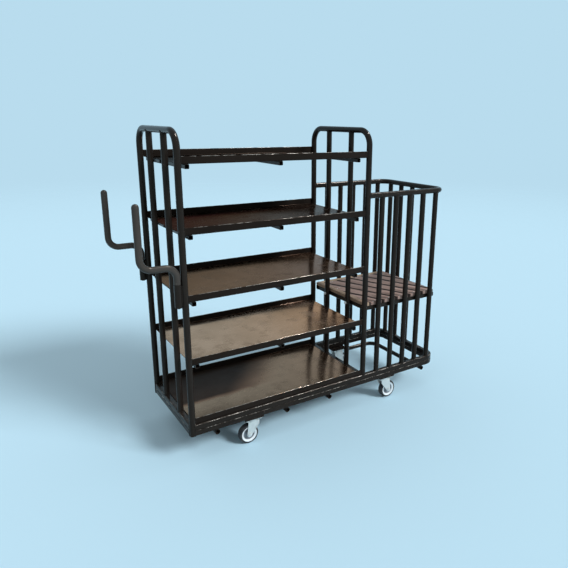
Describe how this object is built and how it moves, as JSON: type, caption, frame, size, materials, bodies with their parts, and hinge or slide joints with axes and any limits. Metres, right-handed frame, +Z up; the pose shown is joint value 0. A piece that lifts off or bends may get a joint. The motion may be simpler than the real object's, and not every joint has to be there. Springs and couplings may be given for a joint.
{
  "type": "shoe trolley",
  "caption": "Tall steel push trolley with open tray shelves between tube hoops, a barred end cage with a slanted-board wooden shelf, swing push handles and swivel casters.",
  "frame": {"origin": "on the floor, under the middle of the overall box", "axes": "+X from the push handles to the cage, +Y from front to back, +Z up"},
  "size_m": [1.76, 0.552, 1.55],
  "materials": {
    "black_paint": "gloss black enamel",
    "shelf_sheet": "satin brown-black enamel",
    "handle_paint": "satin grey-black enamel",
    "zinc": "bright zinc plate",
    "wheel_hub": "smooth moulded plastic",
    "tyre": "matt grey rubber",
    "board_wood": "bare sawn boards"
  },
  "bodies": {
    "frame": {"left_hoop": "black_paint", "left_hoop_bars": "black_paint", "middle_hoop": "black_paint", "middle_hoop_bars": "black_paint", "base_lower_rail": "black_paint", "base_upper_rail": "black_paint", "left_lower_rail": "black_paint", "left_upper_rail": "black_paint", "deck_cross_rails": "black_paint", "base_cross_tubes": "black_paint", "cage_floor_tube": "black_paint", "deck_tray": "shelf_sheet", "cage_top_rail": "black_paint", "cage_side_bars": "black_paint", "cage_end_bars": "black_paint", "cage_shelf_side_rails": "black_paint", "cage_shelf_end_rails": "black_paint", "shelf_bolts": "zinc", "cage_left_batten": "board_wood", "cage_back_batten": "board_wood", "front_handle_sleeve": "black_paint", "back_handle_sleeve": "black_paint", "caster_mount_plates": "black_paint", "caster_top_plates": "zinc", "caster_races": "zinc", "caster_king_pins": "zinc", "caster_bolts": "zinc", "shelf_1": "shelf_sheet", "shelf_1_bearers": "black_paint", "shelf_2": "shelf_sheet", "shelf_2_bearers": "black_paint", "shelf_3": "shelf_sheet", "shelf_3_bearers": "black_paint", "shelf_4": "shelf_sheet", "shelf_4_bearers": "black_paint", "cage_board_1": "board_wood", "cage_board_2": "board_wood", "cage_board_3": "board_wood", "cage_board_4": "board_wood", "cage_board_5": "board_wood", "cage_board_6": "board_wood", "cage_board_7": "board_wood"},
    "front_handle": {"front_handle": "handle_paint"},
    "back_handle": {"back_handle": "handle_paint"},
    "front_left_swivel": {"front_left_fork": "zinc", "front_left_axle": "zinc"},
    "front_left_wheel": {"front_left_hub": "wheel_hub", "front_left_tyre": "tyre"},
    "back_left_swivel": {"back_left_fork": "zinc", "back_left_axle": "zinc"},
    "back_left_wheel": {"back_left_hub": "wheel_hub", "back_left_tyre": "tyre"},
    "front_right_swivel": {"front_right_fork": "zinc", "front_right_axle": "zinc"},
    "front_right_wheel": {"front_right_hub": "wheel_hub", "front_right_tyre": "tyre"},
    "back_right_swivel": {"back_right_fork": "zinc", "back_right_axle": "zinc"},
    "back_right_wheel": {"back_right_hub": "wheel_hub", "back_right_tyre": "tyre"}
  },
  "joints": [
    {"name": "front_handle_swing", "type": "hinge", "parent": "frame", "child": "front_handle", "pos_m": [-0.712, -0.26, 0.89], "axis": [0, 0, 1], "range_deg": [-90, 90]},
    {"name": "back_handle_swing", "type": "hinge", "parent": "frame", "child": "back_handle", "pos_m": [-0.712, 0.26, 0.89], "axis": [0, 0, 1], "range_deg": [-90, 90]},
    {"name": "front_left_swivel_turn", "type": "hinge", "parent": "frame", "child": "front_left_swivel", "pos_m": [-0.363, -0.239, 0.1225], "axis": [0, 0, 1], "continuous": true},
    {"name": "front_left_wheel_roll", "type": "hinge", "parent": "front_left_swivel", "child": "front_left_wheel", "pos_m": [-0.388, -0.239, 0.051], "axis": [0, 1, 0], "continuous": true},
    {"name": "back_left_swivel_turn", "type": "hinge", "parent": "frame", "child": "back_left_swivel", "pos_m": [-0.363, 0.239, 0.1225], "axis": [0, 0, 1], "continuous": true},
    {"name": "back_left_wheel_roll", "type": "hinge", "parent": "back_left_swivel", "child": "back_left_wheel", "pos_m": [-0.388, 0.239, 0.051], "axis": [0, 1, 0], "continuous": true},
    {"name": "front_right_swivel_turn", "type": "hinge", "parent": "frame", "child": "front_right_swivel", "pos_m": [0.494, -0.239, 0.1225], "axis": [0, 0, 1], "continuous": true},
    {"name": "front_right_wheel_roll", "type": "hinge", "parent": "front_right_swivel", "child": "front_right_wheel", "pos_m": [0.519, -0.239, 0.051], "axis": [0, 1, 0], "continuous": true},
    {"name": "back_right_swivel_turn", "type": "hinge", "parent": "frame", "child": "back_right_swivel", "pos_m": [0.494, 0.239, 0.1225], "axis": [0, 0, 1], "continuous": true},
    {"name": "back_right_wheel_roll", "type": "hinge", "parent": "back_right_swivel", "child": "back_right_wheel", "pos_m": [0.519, 0.239, 0.051], "axis": [0, 1, 0], "continuous": true}
  ]
}
